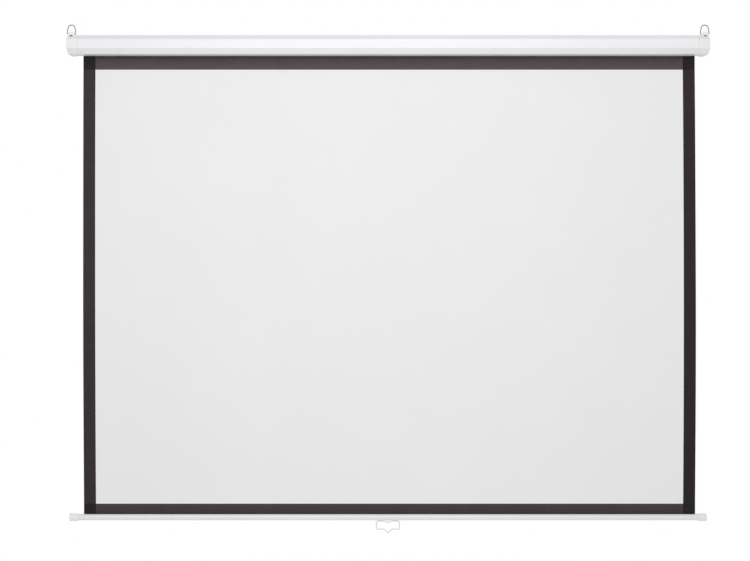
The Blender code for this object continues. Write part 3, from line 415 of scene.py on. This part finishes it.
def coated_steel_wire(name, colour, roughness):
    """Steel wire dipped in a thin grey coating."""
    finish = Finish(name, colour, roughness)
    finish.vary_colour(finish.noise(7 * MM), colour, darkest=0.93, lightest=1.04)
    finish.vary_roughness(finish.noise(3 * MM), roughness, smoother=0.08, rougher=0.1)
    finish.bump(finish.noise(1.6 * MM, detail=2.0), depth=0.03 * MM)
    return finish


VIEW_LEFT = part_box("left_side_band")[1].x
VIEW_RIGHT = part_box("right_side_band")[0].x
VIEW_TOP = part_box("top_band")[0].z
VIEW_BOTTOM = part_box("bottom_band")[1].z
CASE_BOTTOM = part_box("case_shell")[0].z
BAR_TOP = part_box("bottom_bar")[1].z

FINISHES = [
    powder_coat("case_paint", (0.838, 0.834, 0.862), roughness=0.38),
    powder_coat("bar_paint", (0.8, 0.8, 0.81), roughness=0.34),
    # dark is the painted shade inside the slot at the lug's foot
    cap_moulding("cap_plastic", (0.85, 0.838, 0.832), roughness=0.46, dark=(0.06, 0.058, 0.058)),
    moulded_plastic("clip_plastic", (0.92, 0.92, 0.92), roughness=0.46),
    projection_white("screen_white", (0.836, 0.834, 0.84), roughness=0.9),
    # Painted shade: the side borders darken from the upper left to the lower right
    coated_black(
        "side_border",
        (0.0335, 0.024, 0.0275),
        roughness=0.62,
        specular=0.2,
        far_colour=(0.0145, 0.009, 0.0095),
        start=(VIEW_LEFT, 0.0, VIEW_TOP),
        end=(VIEW_RIGHT, 0.0, VIEW_BOTTOM),
    ),
    # Painted shade under the case: the top border is darkest at the case's bottom and lighter lower down
    coated_black(
        "top_border",
        (0.052, 0.0385, 0.0435),
        roughness=0.62,
        specular=0.22,
        far_colour=(0.087, 0.066, 0.074),
        start=(0.0, 0.0, CASE_BOTTOM),
        end=(0.0, 0.0, VIEW_TOP),
    ),
    coated_black(
        "bottom_border",
        (0.055, 0.041, 0.042),
        roughness=0.62,
        specular=0.22,
        far_colour=(0.037, 0.0255, 0.026),
        start=(0.0, 0.0, VIEW_BOTTOM),
        end=(0.0, 0.0, BAR_TOP),
    ),
    coated_black("border_corner", (0.0116, 0.0083, 0.0097), roughness=0.66, specular=0.18),
    coated_steel_wire("coated_wire", (0.79, 0.79, 0.79), roughness=0.38),
    plated_steel("ring_steel", (0.2, 0.2, 0.205), roughness=0.32),
    plated_steel("zinc_steel", (0.62, 0.62, 0.6), roughness=0.38),
    plated_steel("bright_steel", (0.6, 0.6, 0.62), roughness=0.24, grain=LONG_GRAIN),
    galvanised("roller_steel", (0.55, 0.56, 0.57), roughness=0.42),
    moulded_plastic("nylon", (0.72, 0.71, 0.66), roughness=0.5),
]
MATERIALS = {finish.name: finish.material for finish in FINISHES}
# The fabric's back takes the side border's finish, painted shade included
MATERIALS["screen_black"] = MATERIALS["side_border"]

# Nodes whose finish isn't that of their slot
NODE_FINISHES = {"handle_clip": "clip_plastic"}


# Mesh helpers


def finished_object(name, bm, materials):
    """Turns a bmesh into an object with its faces pointing out and smooth where it is round."""
    bmesh.ops.recalc_face_normals(bm, faces=bm.faces)
    mesh = bpy.data.meshes.new(name)
    bm.to_mesh(mesh)
    bm.free()
    mesh.shade_smooth()
    mesh.set_sharp_from_angle(angle=SMOOTH_ANGLE)
    for material in materials:
        mesh.materials.append(material)
    obj = bpy.data.objects.new(name, mesh)
    bpy.context.scene.collection.objects.link(obj)
    return obj


def rounded(points, radii):
    """An open 2D path whose inner corners are arcs. No arc takes up half of a straight."""
    path = []
    for index, (point, radius) in enumerate(zip(points, radii)):
        if radius <= 0 or index in (0, len(points) - 1):
            path.append(Vector(point))
            continue
        corner = Vector(point)
        back = Vector(points[index - 1]) - corner
        ahead = Vector(points[index + 1]) - corner
        opening = back.angle(ahead)
        longest = BEND_SHARE * min(back.length, ahead.length)
        reach = min(radius / math.tan(opening / 2), longest)
        radius = reach * math.tan(opening / 2)
        to_centre = (back.normalized() + ahead.normalized()).normalized()
        centre = corner + to_centre * (radius / math.sin(opening / 2))
        start = corner + back.normalized() * reach - centre
        end = corner + ahead.normalized() * reach - centre
        turn = start.angle(end)
        for step in range(BEND_STEPS + 1):
            share = step / BEND_STEPS
            blend = start * math.sin((1 - share) * turn) + end * math.sin(share * turn)
            path.append(centre + blend / math.sin(turn))
    return path


def wire_piece(name, points, radius, material, sides=WIRE_SIDES):
    """A round wire through 3D points, with softened ends."""
    points = [Vector(point) for point in points]
    first = (points[0] - points[1]).normalized()
    last = (points[-1] - points[-2]).normalized()
    soft = END_LENGTH_SHARE * radius
    stations = [(points[0], END_RADIUS_SHARE), (points[0] - first * soft, 1.0)]
    stations += [(point, 1.0) for point in points[1:-1]]
    stations += [(points[-1] - last * soft, 1.0), (points[-1], END_RADIUS_SHARE)]
    centres = [centre for centre, _ in stations]
    bm = bmesh.new()
    rings = []
    direction = (centres[1] - centres[0]).normalized()
    side = direction.orthogonal().normalized()
    for index, (centre, share) in enumerate(stations):
        before = centres[max(index - 1, 0)]
        after = centres[min(index + 1, len(centres) - 1)]
        turned = (after - before).normalized()
        side = direction.rotation_difference(turned) @ side
        side = (side - turned * side.dot(turned)).normalized()
        up = turned.cross(side)
        direction = turned
        ring = []
        for step in range(sides):
            angle = math.tau * step / sides
            offset = side * math.cos(angle) + up * math.sin(angle)
            ring.append(bm.verts.new(centre + offset * radius * share))
        rings.append(ring)
    for near, far in zip(rings, rings[1:]):
        for step in range(sides):
            after = (step + 1) % sides
            bm.faces.new((near[step], near[after], far[after], far[step]))
    bm.faces.new(rings[0])
    bm.faces.new(rings[-1])
    return finished_object(name, bm, [material])


def stand_for(piece, body, slot, *replaced):
    """A piece rides on a body and stands for nodes of the model, which it hides. slot is not used."""
    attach(piece, body)
    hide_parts(*replaced)
    return piece


# Nodes that stay: welded, softened along their edges, and given their finish


def soften(obj, width):
    """Welds a node's split points, breaks its sharp edges and shades it smoothly."""
    mesh = obj.data
    custom = mesh.attributes.get("custom_normal")
    if custom is not None:
        mesh.attributes.remove(custom)
    mesh.shade_smooth()
    weld = obj.modifiers.new("weld", "WELD")
    weld.merge_threshold = WELD
    bevel = obj.modifiers.new("edge_break", "BEVEL")
    bevel.width = width
    bevel.segments = EDGE_BREAK_STEPS
    bevel.limit_method = "ANGLE"
    bevel.angle_limit = SMOOTH_ANGLE
    bevel.use_clamp_overlap = True
    normals = obj.modifiers.new("flat_faces", "WEIGHTED_NORMAL")
    normals.keep_sharp = False


def finish_cad_nodes():
    for row in frame["record"]["subparts"]:
        obj = nodes[row["node"]]
        obj.data.materials.clear()
        obj.data.materials.append(MATERIALS[NODE_FINISHES.get(row["node"], row["material_slot"])])
        soften(obj, EDGE_BREAK.get(row["node"], DEFAULT_EDGE_BREAK))


# Hanging fabric

BORDERS = ("screen_white", "side_border", "top_border", "bottom_border", "border_corner")
WHITE, SIDE, TOP, BOTTOM, CORNER = range(len(BORDERS))


class Sheet:
    """Where the fabric hangs, from the solids that it stands for."""

    def __init__(self):
        low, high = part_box("screen_sheet")
        self.left, self.right = low.x, high.x
        self.top = high.z
        self.y = (low.y + high.y) / 2
        band_low, band_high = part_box("left_side_band")
        self.side_band = band_high.x - band_low.x
        self.view_top = VIEW_TOP
        self.view_bottom = VIEW_BOTTOM
        self.band_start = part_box("top_band")[1].z
        self.middle = (self.left + self.right) / 2
        self.half_width = (self.right - self.left) / 2

    def shifted(self, x, free):
        """x moved as the fabric's edges stray from straight. free runs from 0 at the top to 1.

        Each edge is a parabola through its three shifts.
        """
        shares = ((1 - free) * (1 - 2 * free), 4 * free * (1 - free), free * (2 * free - 1))
        left = sum(share * shift for share, shift in zip(shares, LEFT_EDGE_SHIFTS))
        right = sum(share * shift for share, shift in zip(shares, RIGHT_EDGE_SHIFTS))
        across = (x - self.left) / (self.right - self.left)
        return x + left * (1 - across) + right * across

    def hang(self, x, z):
        """Where a point of the flat sheet hangs: its x, and how far it stands behind the plane.

        It never comes forward of the plane, because the roll is there when the screen is up.
        """
        free = min(max((self.view_top - z) / (self.view_top - self.view_bottom), 0.0), 1.0)
        sway = math.sin(math.pi * free)
        across = (x - self.middle) / self.half_width
        from_edge = self.half_width - abs(x - self.middle)
        curl = max(0.0, 1 - from_edge / EDGE_CURL_WIDTH) ** 2
        wave = math.sin(math.tau * x / RIPPLE_LENGTH + RIPPLE_TURN * free)
        depth = BACKWARD_BOW * sway * (1 - BOW_LOST_AT_EDGES * across**2)
        depth += EDGE_CURL * curl * sway * math.sin(EDGE_CURL_TURN * free)
        depth += RIPPLE * wave * sway
        return self.shifted(x, free), depth


def stops(low, high, step, extra=()):
    """Evenly spaced values from low to high, with some exact ones among them.

    An even one that comes too near to an exact one is left out.
    """
    count = max(1, round((high - low) / step))
    values = {low + (high - low) * index / count for index in range(count + 1)}
    values = {value for value in values if all(abs(value - other) > step / 4 for other in extra)}
    return sorted(values | set(extra) | {low, high})


def band_material(sheet, x, z):
    """The index in BORDERS of what is printed at a place on the fabric's front."""
    beside = x < sheet.left + sheet.side_band or x > sheet.right - sheet.side_band
    if z > sheet.band_start:
        return SIDE
    if z > sheet.view_top:
        return CORNER if beside else TOP
    if z < sheet.view_bottom:
        return CORNER if beside else BOTTOM
    return SIDE if beside else WHITE


def add_face(bm, corners, printed):
    """A face of the fabric, with the index in BORDERS of what is printed on it."""
    face = bm.faces.new(corners)
    face.material_index = printed


def fabric_materials():
    return [MATERIALS[name] for name in BORDERS]


def make_upper_sheet(sheet):
    """The fabric from the roller down to the bottom band: white in front, black behind."""
    edges = (sheet.left + sheet.side_band, sheet.right - sheet.side_band)
    columns = stops(sheet.left, sheet.right, SHEET_STEP, edges)
    rows = stops(sheet.view_bottom, sheet.top, SHEET_STEP, (sheet.view_top, sheet.band_start))
    bm = bmesh.new()
    layers = []
    for side in (-1, 1):
        grid = []
        for z in rows:
            line = []
            for x in columns:
                hung_x, depth = sheet.hang(x, z)
                y = sheet.y + depth + side * FABRIC / 2
                line.append(bm.verts.new((hung_x, y, z)))
            grid.append(line)
        layers.append(grid)
    front, back = layers
    for i in range(len(rows) - 1):
        for j in range(len(columns) - 1):
            x = (columns[j] + columns[j + 1]) / 2
            z = (rows[i] + rows[i + 1]) / 2
            corners = (front[i][j], front[i][j + 1], front[i + 1][j + 1], front[i + 1][j])
            add_face(bm, corners, band_material(sheet, x, z))
            corners = (back[i][j], back[i + 1][j], back[i + 1][j + 1], back[i][j + 1])
            add_face(bm, corners, SIDE)
    rim = [(front[0][j], back[0][j]) for j in range(len(columns))]
    rim += [(front[i][-1], back[i][-1]) for i in range(1, len(rows))]
    rim += [(front[-1][j], back[-1][j]) for j in range(len(columns) - 2, -1, -1)]
    rim += [(front[i][0], back[i][0]) for i in range(len(rows) - 2, 0, -1)]
    for (a, b), (c, d) in zip(rim, rim[1:] + rim[:1]):
        add_face(bm, (a, b, d, c), SIDE)
    piece = finished_object("hanging_sheet", bm, fabric_materials())
    stand_for(
        piece,
        "case",
        "screen_white",
        "screen_sheet",
        "left_side_band",
        "right_side_band",
        "top_band",
        "bottom_band",
    )
    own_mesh(piece)
    return piece


def make_lower_sheet(sheet):
    """The bottom band of the fabric, down into the bar, round its rod and up behind as a hem.

    Gives the piece and its length along the cloth.
    """
    rod_low, rod_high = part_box("hem_rod")
    rod_z = (rod_low.z + rod_high.z) / 2
    layer = FABRIC + HEM_LAYER_GAP
    centre = (layer / 2, rod_z)
    hem_low, hem_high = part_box("fabric_hem")
    loop = (hem_high.y - hem_low.y) / 2 - FABRIC / 2
    lean = math.asin(layer / 2 / loop)
    path = [(0.0, z) for z in stops(hem_high.z, sheet.view_bottom, SHEET_STEP)[::-1]]
    start, end = math.pi / 2 + lean, math.tau + math.pi / 2 - lean
    for step in range(HEM_TURN_STEPS + 1):
        angle = start + (end - start) * step / HEM_TURN_STEPS
        path.append((centre[0] + loop * math.cos(angle), centre[1] + loop * math.sin(angle)))
    path += [(layer, z) for z in stops(hem_high.z, hem_high.z + HEM_FLAP, SHEET_STEP)]
    path = [Vector(point) for point in path]
    edges = (sheet.left + sheet.side_band, sheet.right - sheet.side_band)
    columns = stops(sheet.left, sheet.right, SHEET_STEP, edges)
    bm = bmesh.new()
    layers = []
    for side in (-1, 1):
        grid = []
        for index, point in enumerate(path):
            before = path[max(index - 1, 0)]
            after = path[min(index + 1, len(path) - 1)]
            along = (after - before).normalized()
            normal = Vector((along.y, -along.x))
            y, z = point + normal * (side * FABRIC / 2)
            grid.append([bm.verts.new((sheet.shifted(x, 1.0), sheet.y + y, z)) for x in columns])
        layers.append(grid)
    inner, outer = layers
    below_view = sheet.view_bottom - MM
    for i in range(len(path) - 1):
        for j in range(len(columns) - 1):
            x = (columns[j] + columns[j + 1]) / 2
            hanging = max(path[i].y, path[i + 1].y) > hem_high.z and path[i].x == 0.0
            printed = band_material(sheet, x, below_view) if hanging else SIDE
            for grid, side in ((inner, SIDE), (outer, printed)):
                corners = (grid[i][j], grid[i][j + 1], grid[i + 1][j + 1], grid[i + 1][j])
                add_face(bm, corners, side)
    for i in range(len(path) - 1):
        for j in (0, -1):
            corners = (inner[i][j], inner[i + 1][j], outer[i + 1][j], outer[i][j])
            add_face(bm, corners, SIDE)
    for i in (0, -1):
        for j in range(len(columns) - 1):
            corners = (inner[i][j], inner[i][j + 1], outer[i][j + 1], outer[i][j])
            add_face(bm, corners, SIDE)
    piece = finished_object("hanging_sheet_hem", bm, fabric_materials())
    stand_for(piece, "bar", "screen_black", "fabric_hem")
    return piece, sum((after - before).length for before, after in zip(path, path[1:]))


def make_fabric():
    sheet = Sheet()
    upper = make_upper_sheet(sheet)
    lower, length = make_lower_sheet(sheet)


# Bent wire


def mirrored_path(half, bends):
    """A path across the middle from its right half, which is given from the foot up."""
    corners = [(-x, z) for x, z in half] + half[::-1]
    return rounded(corners, bends + bends[::-1])


def make_rings():
    half = [
        (RING_FOOT_END, 0.0),
        (RING_FOOT_HALF, 0.0),
        (RING_FOOT_HALF, RING_SHOULDER_HEIGHT),
        (RING_TOP_HALF, RING_HEIGHT),
    ]
    bends = [0.0, RING_FOOT_BEND, RING_TOP_BEND, RING_TOP_BEND]
    path = mirrored_path(half, bends)
    for word in ("left", "right"):
        pivot = Vector(joints[f"{word}_ring_swing"]["pos_m"])
        points = [pivot + Vector((x, 0.0, z)) for x, z in path]
        ring = wire_piece(f"{word}_ring_wire", points, RING_WIRE, MATERIALS["ring_steel"])
        stand_for(ring, f"{word}_ring", "ring_steel", f"{word}_hanging_ring")


def make_handle():
    half = [
        (HANDLE_FOOT, 0.0),
        (HANDLE_HALF_WIDTH - HANDLE_CORNER_ACROSS, 0.0),
        (HANDLE_HALF_WIDTH, -HANDLE_CORNER_DOWN),
        (HANDLE_HALF_WIDTH, -HANDLE_DROP),
        (HANDLE_POINT_HALF, -HANDLE_DROP),
    ]
    tip = (0.0, -HANDLE_DROP - HANDLE_POINT_DROP)
    corners = [(-x, z) for x, z in half] + [tip] + half[::-1]
    path = rounded(corners, [0.0] + [HANDLE_BEND] * (len(corners) - 2) + [0.0])
    pivot = Vector(joints["handle_swing"]["pos_m"])
    points = [pivot + Vector((x, 0.0, z)) for x, z in path]
    handle = wire_piece("handle_wire", points, HANDLE_WIRE, MATERIALS["coated_wire"])
    stand_for(handle, "handle", "coated_wire", "pull_handle")


def make_spring():
    """The torsion spring with round curls, on the same line as the solid that it stands for."""
    low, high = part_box("torsion_spring")
    axis_y = joints["roller_spin"]["pos_m"][1]
    radius = (high.z - low.z) / 2 - SPRING_WIRE
    count = SPRING_CURLS * SPRING_CURL_STEPS
    start, end = low.x + SPRING_WIRE, high.x - SPRING_WIRE
    points = []
    for step in range(count + 1):
        angle = math.tau * step / SPRING_CURL_STEPS
        x = start + (end - start) * step / count
        points.append((x, axis_y + radius * math.cos(angle), radius * math.sin(angle)))
    steel = MATERIALS["bright_steel"]
    spring = wire_piece("spring_curls", points, SPRING_WIRE, steel, SPRING_SIDES)
    stand_for(spring, "case", "bright_steel", "torsion_spring")


# Floor, light and camera


def seen_rays(tree):
    """1 for rays that look at, mirror or look through something, and 0 for those that light it."""
    path = tree.nodes.new("ShaderNodeLightPath")
    seen = path.outputs["Is Camera Ray"]
    for kind in ("Is Glossy Ray", "Is Transmission Ray"):
        either = tree.nodes.new("ShaderNodeMath")
        either.operation = "MAXIMUM"
        tree.links.new(seen, either.inputs[0])
        tree.links.new(path.outputs[kind], either.inputs[1])
        seen = either.outputs[0]
    return seen


def make_world():
    """White where it is looked at or mirrored, and an even soft light elsewhere."""
    world = bpy.data.worlds.new("studio")
    bpy.context.scene.world = world
    world.use_nodes = True
    tree = world.node_tree
    tree.nodes.clear()
    seen = tree.nodes.new("ShaderNodeBackground")
    light = tree.nodes.new("ShaderNodeBackground")
    light.inputs["Strength"].default_value = AMBIENT
    for node in (seen, light):
        node.inputs["Color"].default_value = (1.0, 1.0, 1.0, 1.0)
    mix = tree.nodes.new("ShaderNodeMixShader")
    tree.links.new(seen_rays(tree), mix.inputs["Fac"])
    tree.links.new(light.outputs[0], mix.inputs[1])
    tree.links.new(seen.outputs[0], mix.inputs[2])
    output = tree.nodes.new("ShaderNodeOutputWorld")
    tree.links.new(mix.outputs[0], output.inputs["Surface"])


def make_area_light(name, place, target, size, power):
    data = bpy.data.lights.new(name, "AREA")
    data.shape = "RECTANGLE"
    data.size, data.size_y = size
    data.energy = power
    light = bpy.data.objects.new(name, data)
    light.location = place
    aim = Vector(target) - Vector(place)
    light.rotation_euler = aim.to_track_quat("-Z", "Y").to_euler()
    light.visible_camera = False
    bpy.context.scene.collection.objects.link(light)


def whiten_outwards(finish):
    """Lets the floor pass into the white background towards its edge, where it is looked at."""
    distance = finish.add("ShaderNodeVectorMath", operation="LENGTH")
    finish.link(finish.where, distance.inputs[0])
    reach = (FLOOR_PLAIN_RADIUS, FLOOR_RADIUS)
    whiteness = (FLOOR_WHITENESS, 1.0)
    outwards = finish.remapped(distance.outputs["Value"], reach, whiteness, course="SMOOTHSTEP")
    share = finish.calculate("MULTIPLY", seen_rays(finish.tree), outwards)
    white = finish.add("ShaderNodeEmission")
    mix = finish.add("ShaderNodeMixShader")
    finish.link(share, mix.inputs["Fac"])
    finish.link(finish.shader.outputs[0], mix.inputs[1])
    finish.link(white.outputs[0], mix.inputs[2])
    finish.link(mix.outputs[0], finish.tree.nodes["Material Output"].inputs["Surface"])


def make_floor():
    """A round pale floor, just below what the photograph's view takes in."""
    bm = bmesh.new()
    bmesh.ops.create_circle(bm, cap_ends=True, segments=FLOOR_SIDES, radius=FLOOR_RADIUS)
    mesh = bpy.data.meshes.new("floor")
    bm.to_mesh(mesh)
    bm.free()
    floor = bpy.data.objects.new("floor", mesh)
    floor.location = (0.0, FLOOR_CENTRE_Y, FLOOR_Z)
    finish = Finish("floor", FLOOR_COLOUR, FLOOR_ROUGHNESS)
    finish.bump(finish.noise(4 * MM, detail=2.0), depth=0.1 * MM, strength=0.2)
    whiten_outwards(finish)
    mesh.materials.append(finish.material)
    bpy.context.scene.collection.objects.link(floor)


def make_camera():
    """Level, square to the screen, at the photograph's distance."""
    data = bpy.data.cameras.new("camera")
    data.sensor_width = SENSOR_WIDTH
    data.lens = FOCAL_PIXELS / PHOTO_WIDTH * SENSOR_WIDTH
    data.clip_end = CAMERA_REACH
    camera = bpy.data.objects.new("camera", data)
    low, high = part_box("screen_sheet")
    camera.location = (CAMERA_X, (low.y + high.y) / 2 - CAMERA_DISTANCE, CAMERA_Z)
    camera.rotation_euler = (math.radians(90), 0.0, 0.0)
    bpy.context.scene.collection.objects.link(camera)
    bpy.context.scene.camera = camera


finish_cad_nodes()
make_fabric()
make_rings()
make_handle()
make_spring()

make_world()
make_area_light("front_softbox", FRONT_PLACE, FRONT_TARGET, FRONT_SIZE, FRONT_POWER)
make_area_light("rear_softbox", REAR_PLACE, SCREEN_CENTRE, REAR_SIZE, REAR_POWER)
make_floor()
make_camera()
bpy.context.scene.view_settings.view_transform = "Standard"
